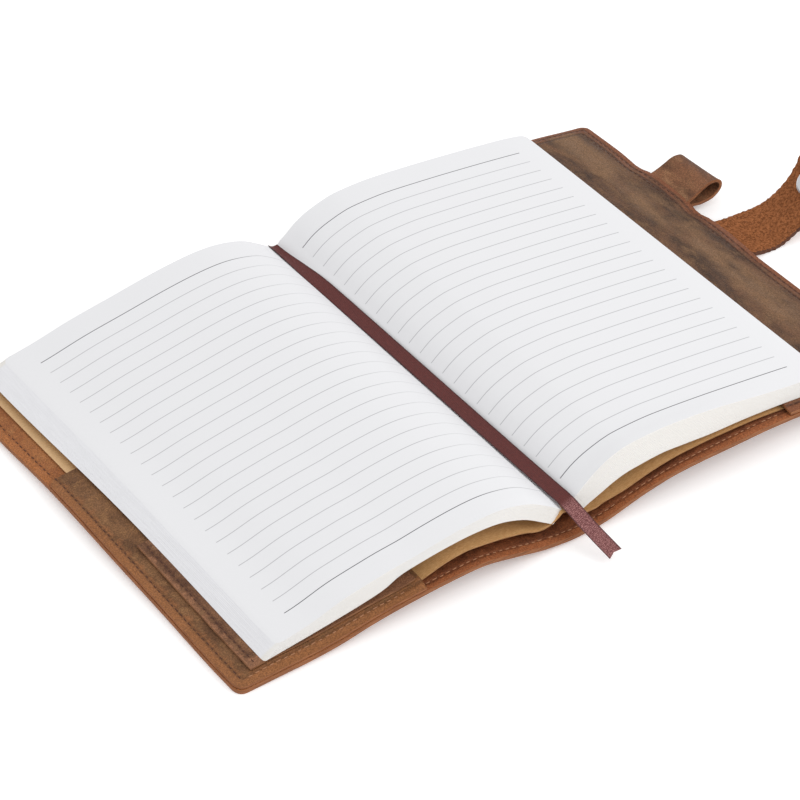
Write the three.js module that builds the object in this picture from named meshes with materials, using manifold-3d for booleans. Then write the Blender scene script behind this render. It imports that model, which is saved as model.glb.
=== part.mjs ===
// Leather notebook cover with its refill notebook, lying open, in millimetres.
// +X runs across the open spread from the front cover to the back cover, +Y to the head of the pages
// and +Z up. The origin is on the table under the middle of the leather spine.
import * as THREE from 'three';
import Module from 'manifold-3d';
import { mergeVertices } from 'three/addons/utils/BufferGeometryUtils.js';

const wasm = await Module();
wasm.setup();

// ---- leather cover
const COVER_EDGE_X = 165; // fore-edge of either cover, from the middle of the spine
const COVER_HALF_HEIGHT = 110;
const LEATHER = 2;
const SPINE_WIDTH = 29; // holds the closed notebook and the inner panels
const HINGE_X = SPINE_WIDTH / 2;
const CORNER_RADIUS = 4;
const GAP = 0.3; // between pieces that lie on each other
const FOLD_GAP = 0.15; // between a cover and its fold line
const SEAM_RIM = 4; // width of the glued and sewn rim round a pocket
const PANEL_INSET = 0.5;
const THREAD = { width: 0.6, height: 0.3, lift: 0.1, inset: 4 };

// ---- pockets
const PANEL = 1.6;
const SLEEVE = { inner: 100, plate: 3.4 };
const POCKET = { inner: -80, top: 33, plate: 4.0 };
const CARD_POCKET = { left: -155, right: -82, bottom: -105, top: -23, rim: 5.9, plate: 6.4, thickness: 1.2 };

// ---- refill notebook
const PAGE_HALF_HEIGHT = 105;
const CARD = 0.5;
const BACK_CARD = { inner: 15.6, outer: 160.5, z: LEATHER + GAP };
const FRONT_CARD = { outer: -156, inner: -15.6, z: 3.2 };
const NOTEBOOK_SPINE_HALF = 13.3;
const SIGNATURE = { thickness: 2.55, pitch: 2.85 };
const RIGHT_LEAVES = { count: 4, inner: -5, outer: 122.4, z: 15.3, slant: 1.5 };
const LEFT_LEAVES = { count: 3, inner: -17, outer: -145, z: 14.5, slant: 2.7 };
const RIBBON = { width: 6.4, thickness: 0.5 };
// Middle of the ribbon from the head of the spine, down the gutter and out past the foot of the pages.
const RIBBON_ROUTE = [
  [-9.2, 106.5, 13.4],
  [-9.3, 95, 13.6],
  [-9.5, 70, 13.9],
  [-9.8, 40, 14.3],
  [-10.2, 10, 14.8],
  [-10.6, -20, 15.3],
  [-10.9, -50, 15.8],
  [-11.2, -80, 16.3],
  [-11.2, -100, 16.6],
  [-10.6, -107, 15.2],
  [-9.2, -112, 11.6],
  [-7.2, -118, 7.2],
  [-5.2, -124, 4.4],
  [-3.4, -130, 3.3],
];

// ---- strap and snap
const STRAP = { bottom: -6, top: 21, pivotX: 166.6, pivotZ: 3.2, root: 33.6, tip: 26, rootTilt: 14.8, tipTilt: 32 };
const STRAP_JOINT_GAP = { start: 0.4, end: 0.2, tip: 0.3 };
const ANCHOR = { inner: 161.6, outer: 165.4, thickness: 0.8 };
const SNAP_Y = (STRAP.bottom + STRAP.top) / 2;
const SNAP_ON_TIP = 14;
const STUD_X = -(STRAP.pivotX - SNAP_ON_TIP);
const STUD_HEIGHT = 1.9;
const RIVET_HOLE = 2;
// The front cover leans on its stud, so it lies a little off level about its fold line.
const studArm = -HINGE_X - STUD_X;
const FRONT_TILT = Math.atan2(LEATHER + STUD_HEIGHT, studArm)
  - Math.asin(LEATHER / Math.hypot(studArm, LEATHER + STUD_HEIGHT));

// ---- pen loop
const LOOP = { bottom: 36.5, top: 64.7, tabInner: 159, tabEnd: 166, tabLow: 5.6, tabHigh: 8.8,
  centreX: 173.6, centreZ: 8.1, radiusX: 6.2, radiusZ: 4.7, leather: 1.6 };

const colours = {
  coverLeather: new THREE.Color('#8a5a3c'),
  panelLeather: new THREE.Color('#7b5845'),
  suede: new THREE.Color('#8c5d3f'),
  kraft: new THREE.Color('#b3865c'),
  paper: new THREE.Color('#ebebed'),
  ribbon: new THREE.Color('#6b3638'),
  thread: new THREE.Color('#b98a58'),
  snap: new THREE.Color('#c9c9cc'),
};

const finish = {
  coverLeather: { roughness: 0.6, metalness: 0 },
  panelLeather: { roughness: 0.55, metalness: 0 },
  suede: { roughness: 0.9, metalness: 0 },
  kraft: { roughness: 0.85, metalness: 0 },
  paper: { roughness: 0.9, metalness: 0 },
  ribbon: { roughness: 0.6, metalness: 0 },
  thread: { roughness: 0.8, metalness: 0 },
  snap: { roughness: 0.25, metalness: 1 },
};

function piece(name, geometry, slot) {
  const mesh = new THREE.Mesh(geometry, new THREE.MeshStandardMaterial({ color: colours[slot], ...finish[slot] }));
  mesh.name = name;
  return mesh;
}

// A rectangle whose corners on the side of roundX are rounded.
function sheetOutline(x0, x1, y0, y1, roundX, radius) {
  const shape = new THREE.Shape();
  const left = roundX === x0 ? radius : 0;
  const right = roundX === x1 ? radius : 0;
  shape.moveTo(x0 + left, y0);
  shape.lineTo(x1 - right, y0);
  if (right) shape.absarc(x1 - right, y0 + right, right, -Math.PI / 2, 0, false);
  shape.lineTo(x1, y1 - right);
  if (right) shape.absarc(x1 - right, y1 - right, right, 0, Math.PI / 2, false);
  shape.lineTo(x0 + left, y1);
  if (left) shape.absarc(x0 + left, y1 - left, left, Math.PI / 2, Math.PI, false);
  shape.lineTo(x0, y0 + left);
  if (left) shape.absarc(x0 + left, y0 + left, left, Math.PI, 1.5 * Math.PI, false);
  return shape;
}

// A flat sheet cut to an outline in XY, standing on z.
function sheet(shape, z, thickness) {
  const geometry = new THREE.ExtrudeGeometry(shape, { depth: thickness, bevelEnabled: false, curveSegments: 6 });
  return geometry.translate(0, 0, z);
}

function block(x0, x1, y0, y1, z0, z1) {
  const geometry = new THREE.BoxGeometry(x1 - x0, y1 - y0, z1 - z0);
  return geometry.translate((x0 + x1) / 2, (y0 + y1) / 2, (z0 + z1) / 2);
}

// The same solid with only its positions kept and its shared corners merged.
function solid(geometry) {
  const bare = geometry.clone();
  bare.deleteAttribute('normal');
  bare.deleteAttribute('uv');
  const merged = mergeVertices(bare, 1e-4);
  return new wasm.Manifold(new wasm.Mesh({
    numProp: 3,
    vertProperties: new Float32Array(merged.attributes.position.array),
    triVerts: new Uint32Array(merged.index.array),
  }));
}

function fromSolid(manifold) {
  const mesh = manifold.getMesh();
  const geometry = new THREE.BufferGeometry();
  geometry.setAttribute('position', new THREE.BufferAttribute(new Float32Array(mesh.vertProperties), 3));
  geometry.setIndex(new THREE.BufferAttribute(new Uint32Array(mesh.triVerts), 1));
  geometry.computeVertexNormals();
  return geometry;
}

function cut(base, ...hollows) {
  let result = solid(base);
  for (const hollow of hollows) result = result.subtract(solid(hollow));
  return fromSolid(result);
}

// The stitched line round three sides of a pocket, as the thread that lies on it.
function seamThread(openX, edgeX, y0, y1, z) {
  const inward = Math.sign(openX - edgeX) * THREAD.width;
  const shape = new THREE.Shape([
    new THREE.Vector2(openX, y0),
    new THREE.Vector2(edgeX, y0),
    new THREE.Vector2(edgeX, y1),
    new THREE.Vector2(openX, y1),
    new THREE.Vector2(openX, y1 - THREAD.width),
    new THREE.Vector2(edgeX + inward, y1 - THREAD.width),
    new THREE.Vector2(edgeX + inward, y0 + THREAD.width),
    new THREE.Vector2(openX, y0 + THREAD.width),
  ]);
  return sheet(shape, z + THREAD.lift, THREAD.height);
}

function hole(x, y, radius) {
  const path = new THREE.Path();
  path.absarc(x, y, radius, 0, 2 * Math.PI, true);
  return path;
}

// A stack of sewn signatures. The lower ones stand further out at the fore-edge.
function signatures(side, leaves) {
  const stack = [];
  const outward = Math.sign(leaves.outer - leaves.inner);
  for (let i = 0; i < leaves.count; i += 1) {
    const outer = leaves.outer + outward * leaves.slant * (leaves.count - 1 - i);
    const z = leaves.z + i * SIGNATURE.pitch;
    const shape = sheetOutline(Math.min(leaves.inner, outer), Math.max(leaves.inner, outer),
      -PAGE_HALF_HEIGHT, PAGE_HALF_HEIGHT, outer, 3);
    stack.push(piece(`${side}_signature_${i + 1}`, sheet(shape, z, SIGNATURE.thickness), 'paper'));
  }
  return stack;
}

function backCover() {
  const parts = new THREE.Group();
  const edge = COVER_EDGE_X - PANEL_INSET;
  const half = COVER_HALF_HEIGHT - PANEL_INSET;
  const leather = sheetOutline(HINGE_X + FOLD_GAP, COVER_EDGE_X, -COVER_HALF_HEIGHT, COVER_HALF_HEIGHT,
    COVER_EDGE_X, CORNER_RADIUS);
  parts.add(piece('back_cover_leather', sheet(leather, 0, LEATHER), 'coverLeather'));

  const panelTop = SLEEVE.plate + PANEL;
  const floor = LEATHER + GAP;
  const sleeve = sheet(sheetOutline(SLEEVE.inner, edge, -half, half, edge, CORNER_RADIUS), floor, panelTop - floor);
  const slot = block(SLEEVE.inner - 1, edge - SEAM_RIM, -half + SEAM_RIM, half - SEAM_RIM, floor - 1, SLEEVE.plate);
  const strapWay = block(edge - SEAM_RIM - 1, edge + 1, STRAP.bottom - GAP, STRAP.top + GAP, floor - 1, SLEEVE.plate);
  parts.add(piece('back_sleeve_panel', cut(sleeve, slot, strapWay), 'panelLeather'));

  const card = sheetOutline(BACK_CARD.inner, BACK_CARD.outer - GAP, -PAGE_HALF_HEIGHT, PAGE_HALF_HEIGHT,
    BACK_CARD.outer - GAP, 3);
  parts.add(piece('back_card', sheet(card, BACK_CARD.z, CARD), 'kraft'));
  parts.add(piece('strap_anchor', block(ANCHOR.inner, ANCHOR.outer, STRAP.bottom, STRAP.top,
    floor, floor + ANCHOR.thickness), 'suede'));
  parts.add(piece('back_seam_thread', seamThread(SLEEVE.inner + 1, COVER_EDGE_X - THREAD.inset,
    -COVER_HALF_HEIGHT + THREAD.inset - THREAD.width, COVER_HALF_HEIGHT - THREAD.inset + THREAD.width, panelTop),
  'thread'));
  parts.add(piece('pen_loop', penLoop(), 'panelLeather'));
  return parts;
}

// A strip of leather folded back on itself, with both ends sewn down as one tab.
function penLoop() {
  const outer = new THREE.Shape();
  outer.moveTo(LOOP.tabInner, LOOP.tabLow);
  outer.lineTo(LOOP.tabEnd, LOOP.tabLow);
  outer.bezierCurveTo(LOOP.tabEnd + 2.5, LOOP.tabLow, LOOP.centreX - 4, LOOP.centreZ - LOOP.radiusZ,
    LOOP.centreX, LOOP.centreZ - LOOP.radiusZ);
  outer.absellipse(LOOP.centreX, LOOP.centreZ, LOOP.radiusX, LOOP.radiusZ, -Math.PI / 2, Math.PI / 2, false, 0);
  outer.bezierCurveTo(LOOP.centreX - 4, LOOP.centreZ + LOOP.radiusZ, LOOP.tabEnd + 2.5, LOOP.tabHigh,
    LOOP.tabEnd, LOOP.tabHigh);
  outer.lineTo(LOOP.tabInner, LOOP.tabHigh);
  const inner = new THREE.Path();
  inner.absellipse(LOOP.centreX, LOOP.centreZ, LOOP.radiusX - LOOP.leather, LOOP.radiusZ - LOOP.leather,
    0, 2 * Math.PI, true, 0);
  outer.holes.push(inner);
  const geometry = new THREE.ExtrudeGeometry(outer,
    { depth: LOOP.top - LOOP.bottom, bevelEnabled: false, curveSegments: 10 });
  return geometry.rotateX(Math.PI / 2).translate(0, LOOP.top, 0);
}

function spine() {
  const parts = new THREE.Group();
  parts.add(piece('spine_leather', block(-HINGE_X + FOLD_GAP, HINGE_X - FOLD_GAP,
    -COVER_HALF_HEIGHT, COVER_HALF_HEIGHT, 0, LEATHER), 'coverLeather'));
  parts.add(piece('notebook_spine', block(-NOTEBOOK_SPINE_HALF, NOTEBOOK_SPINE_HALF,
    -PAGE_HALF_HEIGHT, PAGE_HALF_HEIGHT, LEATHER + GAP, LEATHER + GAP + CARD), 'kraft'));
  return parts;
}

// The front cover and all that it carries, drawn level and then tipped about the fold line onto its stud.
function frontCover() {
  const parts = new THREE.Group();
  const edge = -COVER_EDGE_X + PANEL_INSET;
  const half = COVER_HALF_HEIGHT - PANEL_INSET;
  const floor = LEATHER + GAP;
  const leather = sheetOutline(-COVER_EDGE_X, -HINGE_X - FOLD_GAP, -COVER_HALF_HEIGHT, COVER_HALF_HEIGHT,
    -COVER_EDGE_X, CORNER_RADIUS);
  leather.holes.push(hole(STUD_X, SNAP_Y, RIVET_HOLE));
  parts.add(piece('front_cover_leather', sheet(leather, 0, LEATHER), 'coverLeather'));

  const panelTop = POCKET.plate + PANEL;
  const panel = sheet(sheetOutline(edge, POCKET.inner, -half, POCKET.top, edge, CORNER_RADIUS), floor, panelTop - floor);
  const slot = block(edge + SEAM_RIM, POCKET.inner + 1, -half + SEAM_RIM, POCKET.top + 1, floor - 1, POCKET.plate);
  parts.add(piece('front_pocket_panel', cut(panel, slot), 'panelLeather'));

  const { left, right, bottom, top, rim } = CARD_POCKET;
  const pocket = block(left, right, bottom, top, rim, CARD_POCKET.plate + CARD_POCKET.thickness);
  const cardSlot = block(left + SEAM_RIM, right - SEAM_RIM, bottom + SEAM_RIM, top + 1, rim - 1, CARD_POCKET.plate);
  parts.add(piece('front_card_pocket', cut(pocket, cardSlot), 'panelLeather'));

  const card = sheetOutline(FRONT_CARD.outer, FRONT_CARD.inner, -PAGE_HALF_HEIGHT, PAGE_HALF_HEIGHT,
    FRONT_CARD.outer, 3);
  parts.add(piece('front_card', sheet(card, FRONT_CARD.z, CARD), 'kraft'));
  parts.add(piece('front_seam_thread', seamThread(POCKET.inner - 1, -COVER_EDGE_X + THREAD.inset,
    -COVER_HALF_HEIGHT + THREAD.inset - THREAD.width, POCKET.top - 2, panelTop), 'thread'));
  parts.add(...stud());
  parts.add(...signatures('left', LEFT_LEAVES));

  const tipped = new THREE.Group();
  parts.position.set(HINGE_X, 0, -LEATHER);
  tipped.add(parts);
  tipped.position.set(-HINGE_X, 0, LEATHER);
  tipped.rotation.y = FRONT_TILT;
  return tipped;
}

// A turned piece about a vertical axis, from its half profile.
function turned(profile) {
  return new THREE.LatheGeometry(profile.map(([r, z]) => new THREE.Vector2(r, z)), 24).rotateX(Math.PI / 2);
}

// The snap's stud on the outside of the front cover, and the cap that it is set into from the inside.
function stud() {
  const neck = 1.9;
  const knob = 2.3;
  const post = 1.6;
  const bodyProfile = [
    [0, -STUD_HEIGHT], [knob - 0.5, -STUD_HEIGHT], [knob, -STUD_HEIGHT + 0.4], [neck, -0.7],
    [neck, -0.5], [3.5, -0.4], [3.5, -0.05], [post, -0.05], [post, LEATHER + 0.1], [0, LEATHER + 0.1], [0, -STUD_HEIGHT],
  ];
  const capProfile = [[0, LEATHER + GAP], [4.5, LEATHER + GAP], [4.5, LEATHER + GAP + 0.3],
    [3.6, LEATHER + GAP + 0.6], [0, LEATHER + GAP + 0.6], [0, LEATHER + GAP]];
  const body = piece('snap_stud', turned(bodyProfile), 'snap');
  const cap = piece('snap_stud_cap', turned(capProfile), 'snap');
  for (const mesh of [body, cap]) mesh.position.set(STUD_X, SNAP_Y, 0);
  return [body, cap];
}

// The strap is drawn flat along +X from its pivot, root first, and each length is then turned up.
function strap() {
  const half = LEATHER / 2;
  const root = new THREE.Group();
  root.position.set(STRAP.pivotX, 0, STRAP.pivotZ);
  root.rotation.y = -THREE.MathUtils.degToRad(STRAP.rootTilt);
  root.add(piece('strap_root', block(STRAP_JOINT_GAP.start, STRAP.root - half - STRAP_JOINT_GAP.end,
    STRAP.bottom, STRAP.top, -half, half), 'suede'));

  const tip = new THREE.Group();
  tip.position.set(STRAP.root, 0, 0);
  tip.rotation.y = -THREE.MathUtils.degToRad(STRAP.tipTilt - STRAP.rootTilt);
  const outline = sheetOutline(STRAP_JOINT_GAP.tip, STRAP.tip, STRAP.bottom, STRAP.top, STRAP.tip, 6);
  outline.holes.push(hole(SNAP_ON_TIP, SNAP_Y, RIVET_HOLE));
  tip.add(piece('strap_tip', sheet(outline, -half, LEATHER), 'suede'));

  const socketBase = half + GAP;
  const socketProfile = [[0, socketBase], [6.25, socketBase], [6.25, socketBase + 1.5], [5.9, socketBase + 1.8],
    [4.2, socketBase + 1.8], [3.9, socketBase + 1.5], [3.9, socketBase + GAP], [0, socketBase + GAP], [0, socketBase]];
  const capFace = -half - GAP;
  const capProfile = [[0, capFace - 1], [3.5, capFace - 0.9], [5.2, capFace - 0.5], [5.5, capFace],
    [1.6, capFace], [1.6, half + 0.1], [0, half + 0.1], [0, capFace - 1]];
  const socket = piece('snap_socket', turned(socketProfile), 'snap');
  const cap = piece('snap_cap', turned(capProfile), 'snap');
  for (const mesh of [socket, cap]) mesh.position.set(SNAP_ON_TIP, SNAP_Y, 0);
  tip.add(socket, cap);
  root.add(tip);
  return root;
}

function pageRibbon() {
  const route = new THREE.CatmullRomCurve3(RIBBON_ROUTE.map((p) => new THREE.Vector3(...p)));
  const w = RIBBON.width / 2;
  const t = RIBBON.thickness / 2;
  const section = new THREE.Shape([[-w, -t], [0, -t], [w, -t], [w, t], [0, t], [-w, t]]
    .map(([across, up]) => new THREE.Vector2(across, up)));
  const geometry = new THREE.ExtrudeGeometry(section, { extrudePath: route, steps: 20, bevelEnabled: false });
  return piece('page_ribbon', geometry, 'ribbon');
}

const notebookCover = new THREE.Group();
notebookCover.add(backCover(), spine(), frontCover(), strap(), pageRibbon());
notebookCover.add(...signatures('right', RIGHT_LEAVES));

export default notebookCover;
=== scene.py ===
import math
import random

import bmesh
import bpy
import numpy as np
from mathutils import Matrix, Vector


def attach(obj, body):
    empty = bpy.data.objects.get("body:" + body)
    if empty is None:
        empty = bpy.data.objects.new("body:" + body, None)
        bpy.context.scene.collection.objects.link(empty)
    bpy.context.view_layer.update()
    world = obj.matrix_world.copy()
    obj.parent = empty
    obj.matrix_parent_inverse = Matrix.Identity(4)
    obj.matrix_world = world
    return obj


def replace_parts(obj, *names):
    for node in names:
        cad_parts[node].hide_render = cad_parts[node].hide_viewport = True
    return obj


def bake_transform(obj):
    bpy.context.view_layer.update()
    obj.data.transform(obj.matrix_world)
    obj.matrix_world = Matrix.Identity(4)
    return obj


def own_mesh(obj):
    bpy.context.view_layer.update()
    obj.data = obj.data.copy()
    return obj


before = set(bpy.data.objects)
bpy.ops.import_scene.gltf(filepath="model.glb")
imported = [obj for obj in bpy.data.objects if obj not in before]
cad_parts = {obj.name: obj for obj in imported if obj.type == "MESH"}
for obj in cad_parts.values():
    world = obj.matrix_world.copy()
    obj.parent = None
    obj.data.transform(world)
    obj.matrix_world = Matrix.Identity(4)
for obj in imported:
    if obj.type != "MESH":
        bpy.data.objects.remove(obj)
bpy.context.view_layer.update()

# All sizes below are in millimetres in the row frame. MM turns them into metres.
MM = 0.001
random.seed(11)

# ------------------------------------------------------------ profiles, x and z across the spread
LEATHER = 2.0
LEATHER_UNDER = [(-165, 0), (-137.6, 0.6), (-121.6, 1.9), (-105.5, 4.4), (-89, 6.2), (-72.6, 7.5),
                 (-56, 8), (-39, 5.6), (-21.7, 2.1), (-8, 0.7), (1.5, 1.2), (24.8, 6.3), (42.5, 9.3),
                 (60.5, 10.6), (78.8, 10.8), (97.4, 10.3), (130, 7.6), (165, 2.6)]
FRONT_CARD = [(-156, 2.9), (-137, 3.6), (-121, 5.2), (-105, 7.2), (-89, 8.7), (-80, 10.4), (-74, 12.2),
              (-66, 14.2), (-58, 14.9), (-52, 14.3), (-42, 12.8), (-32, 10.6), (-22, 7.6), (-17.8, 8.4),
              (-14, 10.6)]
SPINE_CARD = [(-14, 10.6), (-12.3, 11.8), (-8.5, 10.6), (-3.7, 8.4), (-1.6, 6.4), (3, 6.3), (7.8, 7.5),
              (14, 8.3)]
BACK_CARD = [(14, 8.3), (17.9, 8.9), (27.8, 11.5), (37.9, 13.5), (48.1, 14.5), (60, 14.9), (80, 14.6),
             (97, 13.2), (110, 11.8), (130, 10), (160, 5.6)]
# From the gutter to the fore-edge.
LEFT_TOP = [(-10.4, 11.6), (-13, 13.4), (-16, 15.5), (-19, 17.6), (-26, 21.8), (-34, 24.4), (-44, 25.9),
            (-56, 25.6), (-72, 23.6), (-92, 20), (-112, 16.4), (-130, 12), (-144, 9.3)]
LEFT_BOTTOM = [(-17.2, 8.6), (-21.2, 11.3), (-31, 17.2), (-43, 20.8), (-54.7, 21.6), (-66.3, 21),
               (-77.9, 19.6), (-89.3, 17.5), (-98.5, 13.6), (-121, 9.6), (-150.5, 5.5)]
RIGHT_TOP = [(-9.2, 12.8), (-8, 14.5), (-5.3, 16.4), (-0.1, 20.8), (5.1, 23.8), (10.3, 25.8),
             (15.5, 27.4), (20.7, 28.4), (31.1, 28.9), (41.5, 28.7), (62.6, 27), (78.7, 25.4),
             (94.9, 23.6), (111.3, 21.5), (122.4, 19.3)]
RIGHT_BOTTOM = [(-3.6, 8.3), (0.6, 10.4), (5.4, 12.4), (11.4, 15.1), (17.5, 17), (23.6, 17.9),
                (36, 18.9), (48.5, 18.1), (61.2, 17.2), (76.6, 16.9), (95, 15.8), (110, 14.4),
                (126, 12.9)]
# The strap's top along its two edges. It is slightly twisted.
STRAP_NEAR = [(159, 5.0), (164.8, 3.7), (172, 2.3), (179.7, 2.2), (190.5, 6.9), (198, 11.5),
              (206, 17.8), (213, 24.5)]
STRAP_FAR = [(159, 5.2), (163.2, 4.5), (170, 3.6), (178, 3.2), (186, 2.9), (193.1, 3.8), (199.5, 6.6),
             (205.6, 11.2), (210.2, 18.2), (213, 26)]
LOOP_LINE = [(158, 5.4), (162, 4.8), (165.5, 4.5), (169.5, 4.0), (175, 4.7), (178.6, 7.3), (179.5, 10),
             (177.8, 12.4), (173.5, 13.0), (168.8, 11.2), (164.5, 8.7), (161.5, 7.4), (158, 7.0)]
LEFT_EDGE = [(-110, -165.1), (-90, -165.5), (-60, -165.3), (-14, -165.7), (30, -165.5), (69, -166.1),
             (110, -165.8)]
RIGHT_EDGE = [(-110, 161.6), (-75, 162.0), (-40, 161.3), (-24, 161.2), (-8, 161.1), (8, 161.9),
              (19, 161.6), (26, 160.7), (34, 161.7), (50, 162.2), (63, 161.2), (67, 160.3), (85, 161.3),
              (110, 160.6)]
HALF_HEIGHT = 110.0
POCKET = 1.1  # thickness, as the next two
CARD_POCKET = 0.9
SLEEVE = 1.6
PAGE_HALF = 105.0
STUD_Y = 7.5


def profile(points):
    """A smooth height over x through the points, with no overshoot between them."""
    x, z = np.array(points, float).T
    h = np.diff(x)
    slope = np.diff(z) / h
    m = np.zeros(len(x))
    m[0], m[-1] = slope[0], slope[-1]
    for i in range(1, len(x) - 1):
        if slope[i - 1] * slope[i] > 0:
            w1, w2 = 2 * h[i] + h[i - 1], h[i] + 2 * h[i - 1]
            m[i] = (w1 + w2) / (w1 / slope[i - 1] + w2 / slope[i])

    def at(q):
        q = np.asarray(q, float)
        inside = np.clip(q, x[0], x[-1])
        i = np.clip(np.searchsorted(x, inside) - 1, 0, len(h) - 1)
        t = (inside - x[i]) / h[i]
        value = ((1 + 2 * t) * (1 - t) ** 2 * z[i] + t * (1 - t) ** 2 * h[i] * m[i]
                 + t * t * (3 - 2 * t) * z[i + 1] + t * t * (t - 1) * h[i] * m[i + 1])
        return value + np.where(q < x[0], m[0], m[-1]) * (q - inside)

    return at


def spline(points, count):
    """count points evenly spaced along a smooth curve through the given ones."""
    p = np.array(points, float)
    ends = np.vstack([2 * p[0] - p[1], p, 2 * p[-1] - p[-2]])
    dense = []
    for i in range(len(p) - 1):
        a, b, c, d = ends[i:i + 4]
        t = np.linspace(0, 1, 24, endpoint=False)[:, None]
        dense.append(0.5 * (2 * b + (c - a) * t + (2 * a - 5 * b + 4 * c - d) * t ** 2
                            + (3 * b - a - 3 * c + d) * t ** 3))
    dense = np.vstack(dense + [p[-1:]])
    run = np.concatenate([[0], np.cumsum(np.linalg.norm(np.diff(dense, axis=0), axis=1))])
    at = np.linspace(0, run[-1], count)
    return np.column_stack([np.interp(at, run, dense[:, k]) for k in range(p.shape[1])])


def ramp(x, low, high):
    """0 before low, 1 after high, smooth between."""
    t = np.clip((np.asarray(x, float) - low) / (high - low), 0, 1)
    return t * t * (3 - 2 * t)


under = profile(LEATHER_UNDER)
left_edge = profile(LEFT_EDGE)
right_edge = profile(RIGHT_EDGE)
front_card_line = profile(FRONT_CARD)
spine_card_line = profile(SPINE_CARD)
back_card_line = profile(BACK_CARD)


def stud_lift(x, y):
    """The front cover's fore-edge lies on its snap stud, so it stands up there."""
    return 2.6 * np.exp(-((y - 10) / 62) ** 2) * (1 - ramp(x, -160, -108))


def ripple(x, y):
    """The slow waves of a worn hide."""
    return 0.22 * np.sin(x / 17 + 1.3) * np.sin(y / 29 + 0.4) + 0.12 * np.sin(x / 7.3 + y / 11)


def leather_top(x, y):
    edge = ramp(np.abs(y), 96, 110)
    return under(x) + LEATHER + stud_lift(x, y) + ripple(x, y) * edge + 0.25 * edge * np.sin(x / 13)


def front_gap(x, y):
    inside = ramp(x, -161, -146) * ramp(y, -109.8, -104.5)
    return 0.12 + inside * (front_card_line(x) - under(x) - LEATHER + 0.3)


def pocket_top(x, y):
    return leather_top(x, y) + front_gap(x, y) + POCKET


def card_pocket_top(x, y):
    return pocket_top(x, y) + CARD_POCKET + 0.1


def back_gap(x, y):
    inside = (1 - ramp(x, 148, 161)) * ramp(HALF_HEIGHT - np.abs(y), 0.2, 6)
    round_loop = 1.2 * ramp(x, 148, 160) * ramp(y, 30, 38) * (1 - ramp(y, 63, 71))
    round_strap = 0.8 * ramp(x, 148, 160) * ramp(y, -14, -5) * (1 - ramp(y, 20, 28))
    return 0.12 + inside * (back_card_line(x) - under(x) - LEATHER + 0.75) + round_loop + round_strap


def dents(x, y):
    """Shallow hollows in the sleeve panel, which lies loose over the card."""
    return 0.2 * np.sin(y / 13 + x / 21) * np.sin(x / 11 + 0.7) * ramp(x, 100, 112) * (1 - ramp(x, 150, 160))


def sleeve_top(x, y):
    return leather_top(x, y) + back_gap(x, y) + dents(x, y) + SLEEVE


# ---------------------------------------------------------------- meshes
def build(name, verts, faces, materials, face_material=None, extra=None, sharp=38):
    """A mesh object from millimetre points. It keeps its rest points for the procedural looks."""
    verts = np.asarray(verts, float)
    mesh = bpy.data.meshes.new(name)
    mesh.from_pydata((verts * MM).tolist(), [], faces)
    for m in materials:
        mesh.materials.append(m)
    if face_material is not None:
        mesh.polygons.foreach_set("material_index", np.asarray(face_material, np.int32))
    bm = bmesh.new()
    bm.from_mesh(mesh)
    bmesh.ops.recalc_face_normals(bm, faces=bm.faces)
    bm.to_mesh(mesh)
    bm.free()
    rest = mesh.attributes.new("rest", "FLOAT_VECTOR", "POINT")
    rest.data.foreach_set("vector", verts.astype(np.float32).ravel())
    for key, values in (extra or {}).items():
        layer = mesh.attributes.new(key, "FLOAT", "POINT")
        layer.data.foreach_set("value", np.asarray(values, np.float32).ravel())
    mesh.polygons.foreach_set("use_smooth", np.ones(len(mesh.polygons), bool))
    mesh.set_sharp_from_angle(angle=math.radians(sharp))
    obj = bpy.data.objects.new(name, mesh)
    bpy.context.scene.collection.objects.link(obj)
    return obj


def shell(name, top, low, face, edge, bulge=0.0, extra=None, back=None):
    """A closed sheet between two (rows, columns, 3) grids, with a rim that swells by bulge."""
    rows, cols = top.shape[:2]
    loop = ([(0, c) for c in range(cols)] + [(r, cols - 1) for r in range(1, rows)]
            + [(rows - 1, c) for c in range(cols - 2, -1, -1)] + [(r, 0) for r in range(rows - 2, 0, -1)])
    middle = []
    for r, c in loop:
        inner = min(max(r, 1), rows - 2), min(max(c, 1), cols - 2)
        out = top[r, c] - top[inner]
        middle.append((top[r, c] + low[r, c]) / 2 + bulge * out / max(np.linalg.norm(out), 1e-9))
    count = rows * cols
    verts = np.vstack([top.reshape(-1, 3), low.reshape(-1, 3), np.array(middle)])
    faces = []
    for r in range(rows - 1):
        for c in range(cols - 1):
            a = r * cols + c
            faces.append((a, a + 1, a + cols + 1, a + cols))
            faces.append((count + a, count + a + cols, count + a + cols + 1, count + a + 1))
    plain = len(faces)
    n = len(loop)
    for i in range(n):
        j = (i + 1) % n
        a, b = (loop[k][0] * cols + loop[k][1] for k in (i, j))
        faces.append((a, 2 * count + i, 2 * count + j, b))
        faces.append((2 * count + i, count + a, count + b, 2 * count + j))
    index = [0, 2] * (plain // 2) + [1] * (len(faces) - plain)
    values = None
    if extra:
        values = {}
        for key, grid in extra.items():
            ring = [grid[r, c] for r, c in loop]
            values[key] = np.concatenate([grid.ravel(), grid.ravel(), ring])
    return build(name, verts, faces, [face, edge, back or face], index, values)


def grid(x, y, z):
    return np.dstack([x, y, z])


def end_rows(low, high, step, fine=(0.0, 0.3, 0.8, 1.6, 2.6, 4.0, 6.0, 9.0)):
    """Row positions from low to high, close together near both ends."""
    inner = np.linspace(low + fine[-1], high - fine[-1], max(3, round((high - low) / step)))
    return np.concatenate([low + np.array(fine[:-1]), inner, high - np.array(fine[:-1])[::-1]])


def corner_inset(distance, radius):
    """How far a rounded corner's outline stands back at that distance from the end."""
    d = np.clip(distance, 0, radius)
    return radius - np.sqrt(np.maximum(radius ** 2 - (radius - d) ** 2, 0))


def border_distance(x, y):
    return np.minimum(np.minimum(x - left_edge(y), right_edge(y) - x), HALF_HEIGHT - np.abs(y))


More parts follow.
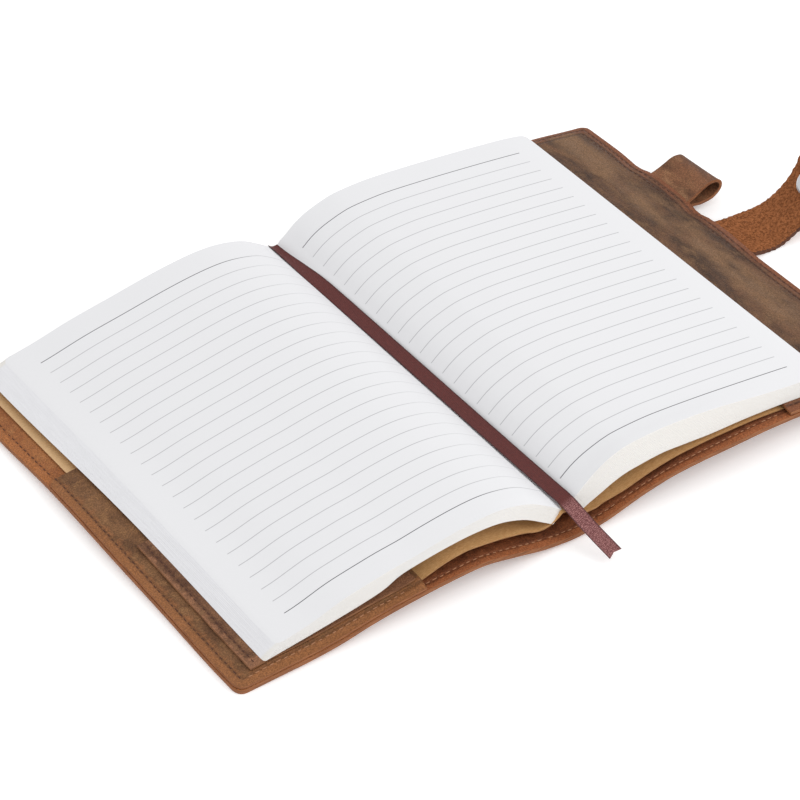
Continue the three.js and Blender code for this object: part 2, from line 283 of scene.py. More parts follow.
def sheet_on(name, x0, x1, y0, y1, top_of, thickness, face, edge, bulge=0.25, left=None, right=None,
             corner=4.0, step=2.4, back=None):
    """A sheet of leather or card over x0..x1 and y0..y1.

    left and right replace a straight side by an outline.
    """
    y = end_rows(y0, y1, 4.5)
    u = np.linspace(0, 1, max(4, round((x1 - x0) / step)))
    from_end = np.minimum(y - y0, y1 - y)
    a = np.full(len(y), float(x0))
    b = np.full(len(y), float(x1))
    if left is not None:
        a = left(y) + corner_inset(from_end, corner)
    if right is not None:
        b = right(y) - corner_inset(from_end, corner)
    x = a[:, None] + (b - a)[:, None] * u[None, :]
    yy = np.repeat(y[:, None], len(u), 1)
    wave = np.where(np.abs(yy) > HALF_HEIGHT - 3, np.sign(yy) * 0.35 * np.sin(x / 19 + yy), 0)
    z = top_of(x, yy)
    top = grid(x, yy + wave, z)
    low = grid(x, yy + wave, z - thickness)
    return shell(name, top, low, face, edge, bulge, {"border": border_distance(x, yy)}, back)


# ---------------------------------------------------------------- materials
def linear(r, g, b):
    """An sRGB colour, 0 to 255, as linear RGBA."""
    def one(c):
        c /= 255
        return c / 12.92 if c <= 0.04045 else ((c + 0.055) / 1.055) ** 2.4
    return one(r), one(g), one(b), 1.0


class Look:
    """A material's node tree, with short names for the nodes used here."""

    def __init__(self, name, roughness=0.6, specular=0.5, **fixed):
        self.material = bpy.data.materials.new(name)
        self.material.use_nodes = True
        self.nodes = self.material.node_tree.nodes
        self.links = self.material.node_tree.links
        self.shader = self.nodes["Principled BSDF"]
        self.shader.inputs["Roughness"].default_value = roughness
        self.shader.inputs["Specular IOR Level"].default_value = specular
        for key, value in fixed.items():
            self.shader.inputs[key.replace("_", " ")].default_value = value

    def put(self, socket, value):
        if isinstance(value, bpy.types.NodeSocket):
            self.links.new(value, socket)
        else:
            socket.default_value = value

    def attribute(self, name, output="Fac"):
        node = self.nodes.new("ShaderNodeAttribute")
        node.attribute_name = name
        return node.outputs[output]

    def rest(self, scale=(1, 1, 1)):
        node = self.nodes.new("ShaderNodeVectorMath")
        node.operation = "MULTIPLY"
        self.links.new(self.attribute("rest", "Vector"), node.inputs[0])
        node.inputs[1].default_value = scale
        return node.outputs[0]

    def axis(self, name):
        node = self.nodes.new("ShaderNodeSeparateXYZ")
        self.links.new(self.attribute("rest", "Vector"), node.inputs[0])
        return node.outputs[name]

    def noise(self, vector, scale, detail=4.0, rough=0.55, distortion=0.0):
        node = self.nodes.new("ShaderNodeTexNoise")
        self.links.new(vector, node.inputs["Vector"])
        node.inputs["Scale"].default_value = scale
        node.inputs["Detail"].default_value = detail
        node.inputs["Roughness"].default_value = rough
        node.inputs["Distortion"].default_value = distortion
        return node.outputs["Fac"]

    def cells(self, vector, scale, feature="F1"):
        node = self.nodes.new("ShaderNodeTexVoronoi")
        node.feature = feature
        self.links.new(vector, node.inputs["Vector"])
        node.inputs["Scale"].default_value = scale
        return node.outputs["Distance"]

    def math(self, operation, a, b=0.0, c=0.0):
        node = self.nodes.new("ShaderNodeMath")
        node.operation = operation
        for i, value in enumerate((a, b, c)):
            self.put(node.inputs[i], value)
        return node.outputs[0]

    def span(self, value, low, high, to_low=0.0, to_high=1.0):
        node = self.nodes.new("ShaderNodeMapRange")
        node.interpolation_type = "SMOOTHSTEP"
        self.put(node.inputs["Value"], value)
        for key, number in (("From Min", low), ("From Max", high), ("To Min", to_low), ("To Max", to_high)):
            self.put(node.inputs[key], number)
        return node.outputs["Result"]

    def mix(self, share, a, b, blend="MIX"):
        node = self.nodes.new("ShaderNodeMix")
        node.data_type = "RGBA"
        node.blend_type = blend
        self.put(node.inputs["Factor"], share)
        self.put(node.inputs[6], a)
        self.put(node.inputs[7], b)
        return node.outputs[2]

    def bump(self, height, strength, distance_mm):
        node = self.nodes.new("ShaderNodeBump")
        node.inputs["Strength"].default_value = strength
        node.inputs["Distance"].default_value = distance_mm * MM
        self.links.new(height, node.inputs["Height"])
        self.links.new(node.outputs["Normal"], self.shader.inputs["Normal"])

    def colour(self, value):
        self.put(self.shader.inputs["Base Color"], value)
        return self

    def rough(self, value):
        self.put(self.shader.inputs["Roughness"], value)


def leather_look(name, dark, middle, light, rust, rust_from, rust_to, grain=0.6, streak=False, grooves=(),
                 ridge_highlight_band=None):
    """Oiled pull-up leather: cloudy, darker where handled and rust coloured towards its cut border.

    grooves are the distances from the border where stitches sink it, darkened there with painted shade.
    ridge_highlight_band is a stretch of x lightened with a painted highlight along a ridge of the panel.
    """
    look = Look(name, roughness=0.6, specular=0.2)
    place = look.rest()
    drawn = look.rest((1.0, 0.4, 1.0)) if streak else place
    cloud = look.noise(drawn, 0.07, 5, 0.6, 0.6)
    patch = look.noise(drawn, 0.2, 4, 0.65)
    fine = look.noise(place, 1.7, 3, 0.7)
    base = look.mix(look.span(cloud, 0.36, 0.64), dark, middle)
    base = look.mix(look.span(patch, 0.46, 0.76, 0.0, 0.75), base, light)
    if ridge_highlight_band:
        x = look.axis("X")
        # painted highlight: a lighter stretch of x down the panel, where its ridge catches the light
        painted_ridge_highlight = look.math("MULTIPLY", look.span(x, ridge_highlight_band[0], ridge_highlight_band[1]), look.span(x, ridge_highlight_band[2], ridge_highlight_band[3], 1.0, 0.0))
        spread = look.noise(look.rest((0.6, 0.25, 1.0)), 0.12, 3, 0.6)
        base = look.mix(look.math("MULTIPLY", painted_ridge_highlight, look.span(spread, 0.35, 0.6, 0.1, 0.85)), base, light)
    border = look.math("ADD", look.attribute("border"), look.span(patch, 0.3, 0.7, -1.6, 1.6))
    base = look.mix(look.span(border, rust_from, rust_to, 1.0, 0.0), base, rust)
    sunk = 0.0
    for distance in grooves:
        away = look.math("ABSOLUTE", look.math("SUBTRACT", look.attribute("border"), distance))
        sunk = look.math("MAXIMUM", sunk, look.span(away, 0.2, 1.0, 1.0, 0.0))
    # painted shade: the stitch grooves are darkened towards the dark tone, as well as sunk in the bump below
    if grooves:
        base = look.mix(look.math("MULTIPLY", sunk, 0.5), base, dark)
    speck = look.span(fine, 0.35, 0.68, 0.66, 1.3)
    tone = look.nodes.new("ShaderNodeCombineColor")
    for i in range(3):
        look.links.new(speck, tone.inputs[i])
    look.colour(look.mix(1.0, base, tone.outputs[0], "MULTIPLY"))
    look.rough(look.span(patch, 0.3, 0.7, 0.52, 0.72))
    pores = look.cells(place, 1.15)
    relief = look.math("ADD", look.math("MULTIPLY", pores, 0.6), look.math("MULTIPLY", fine, 0.7))
    if grooves:
        relief = look.math("SUBTRACT", relief, look.math("MULTIPLY", sunk, 1.2))
    look.bump(relief, grain, 0.35)
    return look.material


def raw_edge_look(name, low, high):
    look = Look(name, roughness=0.75, specular=0.3)
    lines = look.noise(look.rest((0.12, 0.12, 2.2)), 1.0, 3, 0.6)
    look.colour(look.mix(look.span(lines, 0.35, 0.65), low, high))
    look.bump(lines, 0.5, 0.3)
    return look.material


def kraft_look():
    look = Look("kraft card", roughness=0.85, specular=0.1)
    place = look.rest()
    fibres = look.noise(look.rest((0.5, 2.0, 1)), 1.2, 5, 0.7)
    specks = look.noise(place, 2.6, 2, 0.6)
    base = look.mix(look.span(fibres, 0.35, 0.66), linear(192, 144, 92), linear(212, 169, 117))
    base = look.mix(look.span(specks, 0.62, 0.74), base, linear(172, 126, 77))
    look.colour(look.mix(look.span(look.axis("X"), -157.0, -148.0, 0.6, 0.0), base, linear(216, 186, 148)))
    look.bump(fibres, 0.25, 0.15)
    return look.material


def ruled_look(name, x0, x1, fade):
    """Lined paper: 24 rules 8 mm apart between the margins x0 and x1, fading towards the gutter."""
    look = Look(name, roughness=0.88, specular=0.2)
    x, y = look.axis("X"), look.axis("Y")
    step = look.math("MODULO", look.math("ADD", y, 104.0), 8.0)
    from_rule = look.math("ABSOLUTE", look.math("SUBTRACT", step, 4.0))
    line = look.span(from_rule, 0.1, 0.28, 1.0, 0.0)
    past_x0 = look.span(x, x0 - 0.2, x0 + 0.2)
    inside = look.math("MULTIPLY", past_x0, look.span(x, x1 - 0.2, x1 + 0.2, 1.0, 0.0))
    inside = look.math("MULTIPLY", inside, look.span(look.math("ABSOLUTE", y), 93.0, 93.5, 1.0, 0.0))
    ends = look.span(look.math("ABSOLUTE", y), 90.0, 90.5, 0.45, 1.0)
    share = look.math("MULTIPLY", look.math("MULTIPLY", line, inside), ends)
    if fade:
        share = look.math("MULTIPLY", share, look.span(x, fade[0], fade[1], 1.0, 0.35))
    look.colour(look.mix(share, PAPER, linear(92, 92, 96)))
    return look.material


def paper_look(name, tone, shade, end_tone=None):
    """Plain paper, or the cut sides of the block: tone at the fore-edge and end_tone at head and foot."""
    look = Look(name, roughness=0.9, specular=0.1)
    lines = look.noise(look.rest((0.1, 0.1, 3.0)), 1.0, 2, 0.5)
    base = look.mix(look.span(lines, 0.35, 0.65), tone, shade)
    if end_tone:
        base = look.mix(look.span(look.math("ABSOLUTE", look.axis("Y")), 101.5, 103.0), base, end_tone)
    look.colour(base)
    return look.material


def suede_look(name, low, high):
    look = Look(name, roughness=0.95, specular=0.1)
    nap = look.noise(look.rest(), 0.9, 6, 0.8)
    cloud = look.noise(look.rest(), 0.2, 3, 0.6)
    base = look.mix(look.span(nap, 0.4, 0.6), low, high)
    look.colour(look.mix(look.span(cloud, 0.45, 0.75, 0.0, 0.35), base, linear(130, 79, 48)))
    look.bump(nap, 0.9, 0.8)
    return look.material


def ribbon_look():
    """Satin ribbon with fine cross ribs, a dark selvage and painted sheen that lightens its turned end."""
    look = Look("ribbon", roughness=0.55, specular=0.3)
    along, across = look.attribute("along"), look.attribute("across")
    rib = look.math("SINE", look.math("MULTIPLY", along, 9.0))
    flecks = look.noise(look.rest((1, 1, 1)), 2.2, 3, 0.7)
    body = look.mix(look.span(flecks, 0.35, 0.65), linear(82, 34, 32), linear(108, 50, 45))
    # painted sheen: the turned end is coloured lighter where it faces the lamp, and its pale flecks are
    # painted highlights of the weave
    painted_sheen_tail = look.mix(look.span(flecks, 0.38, 0.66), linear(104, 54, 56), linear(182, 128, 124))
    base = look.mix(look.span(along, 207.0, 211.0), body, painted_sheen_tail)
    base = look.mix(look.span(rib, -0.4, 0.9, 0.0, 0.35), base, linear(80, 36, 34))
    selvage = look.span(look.math("ABSOLUTE", across), 0.78, 0.95)
    look.colour(look.mix(look.math("MULTIPLY", selvage, 0.7), base, linear(62, 30, 32)))
    look.bump(rib, 0.4, 0.12)
    return look.material


PAPER = linear(233, 233, 235)
RUST = linear(152, 88, 52)
cover_leather = leather_look("cover leather", linear(104, 58, 36), linear(136, 79, 48), linear(160, 98, 62),
                             linear(158, 94, 57), 1.0, 4.5, grooves=(3.5,))
flap_leather = leather_look("flap leather", linear(146, 89, 51), linear(162, 104, 61), linear(174, 119, 76),
                            linear(166, 104, 60), 2.0, 6.0, grooves=(4.0,))
panel_leather = leather_look("panel leather", linear(66, 48, 38), linear(112, 79, 57), linear(133, 101, 74),
                             linear(130, 80, 54), 1.5, 7.5, streak=True, grooves=(3.3, 6.4),
                             ridge_highlight_band=(132.0, 141.0, 147.0, 154.0))
pocket_leather = leather_look("pocket leather", linear(99, 67, 43), linear(129, 91, 60), linear(152, 111, 74),
                              linear(148, 97, 59), 3.0, 7.0, grooves=(4.0,))
# Its border colour lightens a rim 9.6 to 11.4 mm in from the notebook's border, along the pocket's left edge.
card_pocket_leather = leather_look("card pocket leather", linear(92, 60, 42), linear(124, 86, 60),
                                   linear(150, 112, 80), linear(144, 100, 72), 9.6, 11.4, grooves=(12.2,))
loop_leather = leather_look("loop leather", linear(98, 65, 46), linear(136, 91, 63), linear(156, 116, 84),
                            RUST, -3.0, -1.0, streak=True)
raw_edge = raw_edge_look("raw leather edge", linear(122, 76, 48), linear(154, 100, 64))
card_pocket_edge = raw_edge_look("card pocket edge", linear(112, 74, 48), linear(140, 96, 64))
suede = suede_look("suede", linear(116, 69, 40), linear(176, 111, 69))
suede_edge = raw_edge_look("suede edge", linear(70, 40, 26), linear(98, 58, 38))
kraft = kraft_look()
kraft_edge = raw_edge_look("kraft edge", linear(150, 108, 68), linear(176, 132, 90))
plain_paper = paper_look("paper", PAPER, linear(229, 229, 231))
page_ends = paper_look("page ends", linear(232, 232, 235), linear(229, 229, 232), linear(230, 227, 222))
left_rules = ruled_look("left ruled paper", -133.0, -14.0, (-48.0, -22.0))
right_rules = ruled_look("right ruled paper", -4.5, 110.0, None)
ribbon_cloth = ribbon_look()
light_thread = Look("light thread", roughness=0.8).colour(linear(170, 120, 86)).material
dark_thread = Look("dark thread", roughness=0.8).colour(linear(76, 42, 28)).material
snap_metal = Look("snap metal", roughness=0.22, Metallic=1.0).colour(linear(205, 205, 208)).material

# ---------------------------------------------------------------- the stretches of the spread along x
# Each zone: x from, x to, the two bodies it bends between, and where along x the bend starts and ends.
ZONES = [(-170.0, -85.0, "front_cover", "left_pages", -150.0, -85.0),
         (-85.0, -21.0, "left_pages", "front_cover", -56.0, -22.0),
         (-21.0, 0.0, "front_cover", "spine", -21.0, -8.0),
         (0.0, 15.0, "spine", "back_cover", 6.0, 14.9),
         (15.0, 85.0, "back_cover", "right_pages", 15.0, 50.0),
         (85.0, 170.0, "right_pages", "back_cover", 90.0, 160.0)]


def bend(obj):
    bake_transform(obj)
    return obj


# ---------------------------------------------------------------- leather cover
hide_nodes = ["front_cover_leather", "front_cover_leather", "spine_leather", "spine_leather",
              "back_cover_leather", "back_cover_leather"]
hide_names = ["front_hide_outer", "front_hide_inner", "spine_hide_front", "spine_hide_back",
              "back_hide_inner", "back_hide_outer"]
for zone, (name, node) in enumerate(zip(hide_names, hide_nodes)):
    x0, x1 = max(ZONES[zone][0], -165.0), min(ZONES[zone][1], 165.0)
    face = flap_leather if zone == 0 else cover_leather
    hide = sheet_on(name, x0, x1, -HALF_HEIGHT, HALF_HEIGHT, leather_top, LEATHER, face, raw_edge,
                    left=left_edge if zone == 0 else None, right=right_edge if zone == 5 else None,
                    back=cover_leather)
    bend(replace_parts(hide, node))

pocket = sheet_on("pocket_panel", -163, -80, -HALF_HEIGHT + 0.3, 31, pocket_top, POCKET, pocket_leather,
                  raw_edge, left=lambda y: left_edge(y) + 0.4)
bend(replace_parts(pocket, "front_pocket_panel"))
card_pocket = sheet_on("card_pocket", -156, -82, -104.6, -23, card_pocket_top, CARD_POCKET,
                       card_pocket_leather, card_pocket_edge)
bend(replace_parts(card_pocket, "front_card_pocket"))
sleeve = sheet_on("sleeve_panel", 98, 163, -HALF_HEIGHT + 0.3, HALF_HEIGHT - 0.3, sleeve_top, SLEEVE,
                  panel_leather, raw_edge, right=lambda y: right_edge(y) - 0.3)
bend(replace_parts(sleeve, "back_sleeve_panel"))


# ---------------------------------------------------------------- stitching
def stitches(name, start, end, height_of, thread, node, pitch=3.1, length=2.1, width=0.5):
    """A row of sunk stitches from start to end (x, y), lying on the surface height_of."""
    start, end = np.array(start, float), np.array(end, float)
    total = np.linalg.norm(end - start)
    direction = (end - start) / total
    side = np.array([-direction[1], direction[0]])
    verts, faces = [], []
    for k in range(int(total / pitch)):
        middle = start + direction * (k + 0.5) * pitch + side * random.uniform(-0.12, 0.12)
        reach = length * random.uniform(0.7, 1.1) / 2
        base = len(verts)
        for s, size in ((-1, 0.35), (-0.6, 0.95), (0.6, 0.95), (1, 0.35)):
            p = middle + direction * s * reach
            z = float(height_of(p[0], p[1])) - 0.02
            for a in range(6):
                turn = math.pi * a / 3
                q = p + side * math.cos(turn) * width * size / 2
                verts.append((q[0], q[1], z + math.sin(turn) * width * size * 0.42))
        for ring in range(3):
            for a in range(6):
                b = (a + 1) % 6
                r0, r1 = base + ring * 6, base + ring * 6 + 6
                faces.append((r0 + a, r0 + b, r1 + b, r1 + a))
        faces.append(tuple(base + a for a in range(6)))
        faces.append(tuple(base + 18 + a for a in range(6)))
    row = build(name, verts, faces, [thread])
    bend(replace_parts(row, node))


def split_row(name, y, x0, x1, height_of, thread, node):
    """A row along x, cut into one piece for each zone it crosses."""
    for zone, (a, b, *_rest) in enumerate(ZONES):
        low, high = max(a, x0), min(b, x1)
        if high - low > 5:
            stitches(f"{name}_{zone}", (low, y), (high, y), height_of, thread, node)


SIDE_ROW = 4.0  # from the front cover's fore-edge to its stitches
foot = -HALF_HEIGHT + 3.5
front_thread, back_thread = "front_seam_thread", "back_seam_thread"
split_row("foot_stitch_pocket", foot, -159, -81, pocket_top, light_thread, front_thread)
split_row("foot_stitch_front", foot, -79, 0, leather_top, light_thread, front_thread)
split_row("foot_stitch_back", foot, 0, 97, leather_top, light_thread, back_thread)
split_row("foot_stitch_sleeve", foot, 99, 158, sleeve_top, dark_thread, back_thread)
split_row("head_stitch_front", -foot, -159, 0, leather_top, light_thread, front_thread)
split_row("head_stitch_back", -foot, 0, 97, leather_top, light_thread, back_thread)
split_row("head_stitch_sleeve", -foot, 99, 158, sleeve_top, dark_thread, back_thread)
for part in range(4):
    y0, y1 = -106 + part * 34.5, -106 + (part + 1) * 34.5
    stitches(f"pocket_stitch_{part}", (float(left_edge(y0)) + SIDE_ROW, y0),
             (float(left_edge(y1)) + SIDE_ROW, y1), pocket_top, dark_thread, front_thread)
for part in range(2):
    y0, y1 = 35 + part * 35.5, 35 + (part + 1) * 35.5
    stitches(f"flap_stitch_{part}", (float(left_edge(y0)) + SIDE_ROW, y0),
             (float(left_edge(y1)) + SIDE_ROW, y1), leather_top, dark_thread, front_thread)
stitches("card_pocket_stitch", (-153.3, -103), (-153.3, -25), card_pocket_top, dark_thread, front_thread)
for row, inset in enumerate((3.2, 6.4)):
    for part in range(6):
        y0, y1 = -106 + part * 35.3, -106 + (part + 1) * 35.3
        stitches(f"sleeve_stitch_{row}_{part}", (float(right_edge(y0)) - inset, y0),
                 (float(right_edge(y1)) - inset, y1), sleeve_top, dark_thread, back_thread)

# ---------------------------------------------------------------- kraft wrapper of the notebook
CARD = 0.5
front_tilt = math.radians(0.788)
front_normal = Vector((math.sin(front_tilt), 0, math.cos(front_tilt)))


def front_plane(z):
    """A point of the level plane z of the front cover's own frame, which is tipped about its fold."""
    return (Vector((-14.5, 0, 2)) + front_normal * (z - 2)) * MM


front_card = sheet_on("front_card_sheet", -156, -14, -PAGE_HALF, PAGE_HALF,
                      lambda x, y: front_card_line(x) + stud_lift(x, y), CARD, kraft, kraft_edge, bulge=0.05)
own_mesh(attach(front_card, "front_cover"))
spine_card = sheet_on("notebook_spine_card", -13.95, 14, -PAGE_HALF, PAGE_HALF,
                      lambda x, y: spine_card_line(x), CARD, kraft, kraft_edge, bulge=0.05, step=1.0)
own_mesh(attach(spine_card, "spine"))
back_card = sheet_on("back_card_sheet", 14.05, 160, -PAGE_HALF, PAGE_HALF,
                     lambda x, y: back_card_line(x), CARD, kraft, kraft_edge, bulge=0.05)
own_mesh(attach(back_card, "back_cover"))
for card, node in ((front_card, "front_card"), (spine_card, "notebook_spine"), (back_card, "back_card")):
    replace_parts(card, node)


# ---------------------------------------------------------------- page blocks
HEAD_FAN = 2.6  # the left block's lower leaves fan out this much further at the head


def leaf_surface(top_line, bottom_line, t, warp, foot_y, head_y, trim):
    """The page surface at share t of the block's thickness, as a grid from the gutter outwards."""
    line = (1 - t) * bottom_line + t * top_line
    run = np.concatenate([[0], np.cumsum(np.linalg.norm(np.diff(line, axis=0), axis=1))])
    y = end_rows(foot_y, head_y, 9.0)
    from_end = np.minimum(y - foot_y, head_y - y)
    reach = run[-1] - trim - corner_inset(from_end, 1.2 + 1.8 * t)
    s = np.linspace(0, 1, len(line))
    at = reach[:, None] * s[None, :]
    x = np.interp(at.ravel(), run, line[:, 0]).reshape(at.shape)
    z = np.interp(at.ravel(), run, line[:, 1]).reshape(at.shape)
    yy = np.repeat(y[:, None], len(s), 1)
    return grid(x - HEAD_FAN * (1 - t) * ramp(yy, -60, 90) * ramp(-x, 110, 150), yy, z + warp(x, yy, t))


def left_warp(x, y, t):
    foot_rise = 0.9 * ramp(-y, -105, 92) * ramp(-x, 78, 95) * (1 - ramp(-x, 112, 130))
    gutter_fall = 0.9 * ramp(-y, 96, 105) * ramp(x, -44, -18)
    return stud_lift(x, y) * 0.9 + t * foot_rise - gutter_fall


def right_warp(x, y, t):
    fall = 1.0 * ramp(105 - y, 0, 197) * t
    flare = 2.4 * ramp(-y, 90, 105) * ramp(x, -4, 14) * (1 - ramp(x, 50, 100)) * t
    return flare - fall


def page_block(side, top_points, bottom_points, count, body, warp, ruled, anchor_of, nodes):
    columns = 56
    top_line, bottom_line = spline(top_points, columns), spline(bottom_points, columns)
    for i in range(count):
        t0, t1 = i / count, (i + 0.97) / count
        jitter = random.uniform(-0.04, 0.04) if i < count - 1 else 0.0
        foot_y = -PAGE_HALF + 1.7 * t1 + jitter * 0.5
        head_y = PAGE_HALF + 0.3 - 0.4 * t1 + jitter * 0.4
        trim = 0.1 + jitter
        top = leaf_surface(top_line, bottom_line, t1, warp, foot_y, head_y, trim)
        low = leaf_surface(top_line, bottom_line, t0, warp, foot_y, head_y, trim)
        face = ruled if i == count - 1 else plain_paper
        leaf = shell(f"{side}_leaf_{i + 1:02d}", top, low, face, page_ends, bulge=0.04)
        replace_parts(leaf, nodes[i * len(nodes) // count])
        middle = anchor_of((i + 0.5) / count)
        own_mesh(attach(leaf, body))


page_block("left", LEFT_TOP, LEFT_BOTTOM, 12, "left_pages", left_warp, left_rules,
           lambda share: front_plane(14.5 + 8.25 * share), [f"left_signature_{k}" for k in (1, 2, 3)])
page_block("right", RIGHT_TOP, RIGHT_BOTTOM, 16, "right_pages", right_warp, right_rules,
           lambda share: Vector((0, 0, (15.3 + 11.1 * share) * MM)),
           [f"right_signature_{k}" for k in (1, 2, 3, 4)])

# ---------------------------------------------------------------- ribbon
RIBBON = [(-11.35, 105.2, 13.5), (-11.2, 99, 13.7), (-10.8, 84, 14.1), (-10.3, 60, 14.5),
          (-10.2, 0, 14.8), (-10.1, -60, 15.0), (-10.0, -92, 15.3), (-9.8, -100, 15.2),
          (-9.3, -106, 14.0), (-8.3, -113, 11.0), (-7.1, -120, 8.2), (-5.6, -129.2, 5.0)]
RIBBON_WIDTH = 6.1
RIBBON_THICK = 0.3
line = spline(RIBBON, 150)
tangent = np.gradient(line, axis=0)
tangent /= np.linalg.norm(tangent, axis=1)[:, None]
lean = ramp(-line[:, 1], 98, 108)[:, None]
pinch = ramp(line[:, 1], 66, 104)[:, None]  # the gutter squeezes the ribbon into a channel towards the head
across = (1 - pinch) * np.array([0.955, 0, 0.295]) + pinch * np.array([0.955, 0, -0.3])
across = (1 - lean) * across + lean * np.array([0.9, 0.02, 0.42])
across -= (across * tangent).sum(1)[:, None] * tangent
across /= np.linalg.norm(across, axis=1)[:, None]
normal = np.cross(across, tangent)
share = np.linspace(-1, 1, 9)
length_at = np.concatenate([[0], np.cumsum(np.linalg.norm(np.diff(line, axis=0), axis=1))])
fish = np.clip((length_at - (length_at[-1] - 4)) / 4, 0, 1)[:, None]
half_width = RIBBON_WIDTH / 2 * (1 - 0.22 * pinch) * share
reach = line[:, None, :] + across[:, None, :] * half_width[:, :, None]
reach = reach + tangent[:, None, :] * (fish * 1.1 * (np.abs(share)[None, :] - 0.35))[:, :, None]
curl = (0.18 + 0.6 * pinch)[:, :, None] * (1 - share ** 2)[None, :, None] * normal[:, None, :]
strip_top = reach + curl + normal[:, None, :] * RIBBON_THICK / 2
strip_low = reach + curl - normal[:, None, :] * RIBBON_THICK / 2
ribbon = shell("ribbon_bookmark", strip_top, strip_low, ribbon_cloth, ribbon_cloth, 0.02,
               {"along": np.repeat(length_at[:, None], len(share), 1),
                "across": np.repeat(share[None, :], len(line), 0)})
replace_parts(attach(ribbon, "ribbon"), "page_ribbon")


# ---------------------------------------------------------------- strap, snap and pen loop
def strap_piece(name, near, far, y0, y1, round_end, face, edge):
    """A length of strap between its near and far top lines, with end corners of radius round_end."""
    y = end_rows(y0, y1, 3.0, fine=(0.0, 0.4, 1.0, 2.0, 3.5, 6.0))
    from_end = np.minimum(y - y0, y1 - y)
    top, low = [], []
    for row, inset in zip(y, corner_inset(from_end, round_end) if round_end else 0 * y):
        share = (row - y0) / (y1 - y0)
        line = (1 - share) * near + share * far
        tangent = np.gradient(line, axis=0)
        tangent /= np.linalg.norm(tangent, axis=1)[:, None]
        under_line = line + LEATHER * np.column_stack([tangent[:, 1], -tangent[:, 0]])
        run = np.concatenate([[0], np.cumsum(np.linalg.norm(np.diff(line, axis=0), axis=1))])
        at = np.linspace(0, run[-1] - inset, len(line))
        for rows, points in ((top, line), (low, under_line)):
            x = np.interp(at, run, points[:, 0])
            fray = (0.2 * np.sin(2.3 * x) + 0.15 * np.sin(5.1 * x + 1)) * (min(row - y0, y1 - row) < 0.3)
            rows.append(np.column_stack([x, row + fray, np.interp(at, run, points[:, 1])]))
    return shell(name, np.array(top), np.array(low), face, edge, 0.2)


STRAP_Y = (-6, 21)
strap_edges = [spline(points, 72) for points in (STRAP_NEAR, STRAP_FAR)]
JOIN = 34  # the strap's two lengths meet at this point of its 72
strap_near = strap_piece("strap_near", *(e[:JOIN + 1] for e in strap_edges), *STRAP_Y, 0, suede, suede_edge)
strap_far = strap_piece("strap_far", *(e[JOIN:] for e in strap_edges), *STRAP_Y, 6, suede, suede_edge)
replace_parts(strap_near, "strap_anchor", "strap_root")
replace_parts(strap_far, "strap_tip")
for piece, bodies, span in ((strap_near, ("back_cover", "strap_root"), (163, 175)),
                            (strap_far, ("strap_root", "strap_tip"), (192, 206))):
    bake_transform(piece)


def turned(name, outline, centre, axis, material, segments=48):
    """A turned piece: outline holds radius and height along axis, from the axis back to the axis."""
    axis = Vector(axis).normalized()
    side = axis.orthogonal().normalized()
    other = axis.cross(side)
    centre = Vector(centre)
    verts, faces, rings = [], [], []
    for radius, height in outline:
        if radius < 1e-6:
            rings.append([len(verts)])
            verts.append(centre + axis * height)
            continue
        rings.append(list(range(len(verts), len(verts) + segments)))
        for k in range(segments):
            turn = 2 * math.pi * k / segments
            verts.append(centre + axis * height + side * radius * math.cos(turn)
                         + other * radius * math.sin(turn))
    for a, b in zip(rings, rings[1:]):
        for k in range(segments):
            j = (k + 1) % segments
            ring = [a[k % len(a)], a[j % len(a)], b[j % len(b)], b[k % len(b)]]
            faces.append(tuple(dict.fromkeys(ring)))
    return build(name, [tuple(v) for v in verts], faces, [material], sharp=30)


SNAP_POINT = 58
strap_middle = (strap_edges[0] + strap_edges[1]) / 2
run_x, run_z = strap_middle[SNAP_POINT + 1] - strap_middle[SNAP_POINT - 1]
snap_axis = (-run_z, 0, run_x)
snap_at = (strap_middle[SNAP_POINT][0], STUD_Y, strap_middle[SNAP_POINT][1] + 0.1)
socket_outline = [(0, 0.3), (2.2, 0.3), (2.6, 0.7), (3.4, 0.7), (3.7, 1.5), (4.3, 1.9), (5.4, 1.9),
                  (6.1, 1.5), (6.25, 0.9), (6.1, 0.2), (5.6, 0.0), (0, 0.0)]
socket = turned("snap_socket_ring", socket_outline, snap_at, snap_axis, snap_metal)
cap_outline = [(0, -2.9), (3.2, -2.8), (4.8, -2.5), (5.5, -2.1), (5.4, -1.95), (0, -1.95)]
cap = turned("snap_outer_cap", cap_outline, snap_at, snap_axis, snap_metal)
for piece, node in ((socket, "snap_socket"), (cap, "snap_cap")):
    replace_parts(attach(piece, "strap_tip"), node)
for node in ("snap_stud", "snap_stud_cap"):
    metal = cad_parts[node]
    metal.data.materials.clear()
    metal.data.materials.append(snap_metal)
    metal.data.set_sharp_from_angle(angle=math.radians(30))

loop_line = spline(LOOP_LINE, 64)
loop_tangent = np.gradient(loop_line, axis=0)
loop_tangent /= np.linalg.norm(loop_tangent, axis=1)[:, None]
loop_out = np.column_stack([loop_tangent[:, 1], -loop_tangent[:, 0]])
LOOP_Y = (35.6, 62.2)
loop_y = end_rows(*LOOP_Y, 4.0, fine=(0.0, 0.5, 1.5, 3.0))


def loop_grid(offset):
    """The strip's face at that offset from its middle line. Its round sits lower towards the head."""
    p = loop_line + loop_out * offset
    x, z = (np.repeat(p[:, k:k + 1], len(loop_y), 1) for k in (0, 1))
    share = ((loop_y - LOOP_Y[0]) / (LOOP_Y[1] - LOOP_Y[0])) ** 0.6
    drop = 1.7 * share[None, :] * ramp(z, 6.5, 12.5)
    return grid(x, np.repeat(loop_y[None, :], len(p), 0), z - drop)


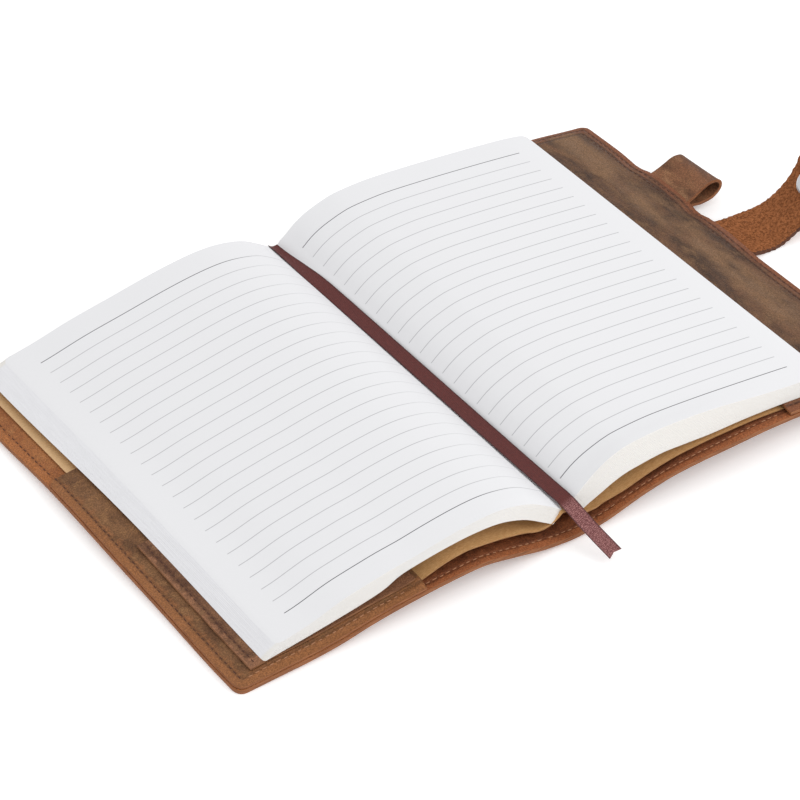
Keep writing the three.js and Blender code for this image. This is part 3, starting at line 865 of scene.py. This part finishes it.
loop_border = np.repeat(np.minimum(loop_y - LOOP_Y[0], LOOP_Y[1] - loop_y)[None, :], len(loop_line), 0)
loop = shell("pen_loop_strip", loop_grid(0.75), loop_grid(-0.75), loop_leather, raw_edge, 0.15,
             {"border": loop_border})
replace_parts(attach(loop, "back_cover"), "pen_loop")

# ---------------------------------------------------------------- floor, light and camera
floor_mesh = bpy.data.meshes.new("floor")
side = 3.0
corners = [(-side, -side, 0), (side, -side, 0), (side, side, 0), (-side, side, 0)]
floor_mesh.from_pydata(corners, [], [(0, 1, 2, 3)])
floor = bpy.data.objects.new("floor", floor_mesh)
bpy.context.scene.collection.objects.link(floor)
floor_look = Look("floor", roughness=1.0, specular=0.0, Emission_Color=(1, 1, 1, 1), Emission_Strength=0.24)
floor_mesh.materials.append(floor_look.colour((0.95, 0.95, 0.95, 1)).material)

world = bpy.data.worlds.new("studio")
world.use_nodes = True
world.node_tree.nodes["Background"].inputs["Color"].default_value = (1, 1, 1, 1)
world.node_tree.nodes["Background"].inputs["Strength"].default_value = 0.9
bpy.context.scene.world = world


def area_light(name, place, size, power):
    data = bpy.data.lights.new(name, "AREA")
    data.shape = "DISK"
    data.size = size
    data.energy = power
    lamp = bpy.data.objects.new(name, data)
    lamp.location = place
    lamp.rotation_euler = (-Vector(place)).to_track_quat("-Z", "Y").to_euler()
    bpy.context.scene.collection.objects.link(lamp)


area_light("front", (0.95, -1.0, 1.1), 1.4, 8.0)

camera_data = bpy.data.cameras.new("camera")
camera_data.lens = 145.82
camera_data.sensor_width = 36
camera_data.clip_start = 0.05
camera_data.clip_end = 20
camera = bpy.data.objects.new("camera", camera_data)
right = Vector((0.82422, -0.56628, 0.0))
up = Vector((0.35432, 0.51571, 0.78007))
back = right.cross(up)
camera.matrix_world = Matrix.Translation(Vector((-604.83, -855.31, 832.67)) * MM) @ Matrix(
    (right, up, back)).transposed().to_4x4()
bpy.context.scene.collection.objects.link(camera)
bpy.context.scene.camera = camera
bpy.context.scene.view_settings.view_transform = "Standard"
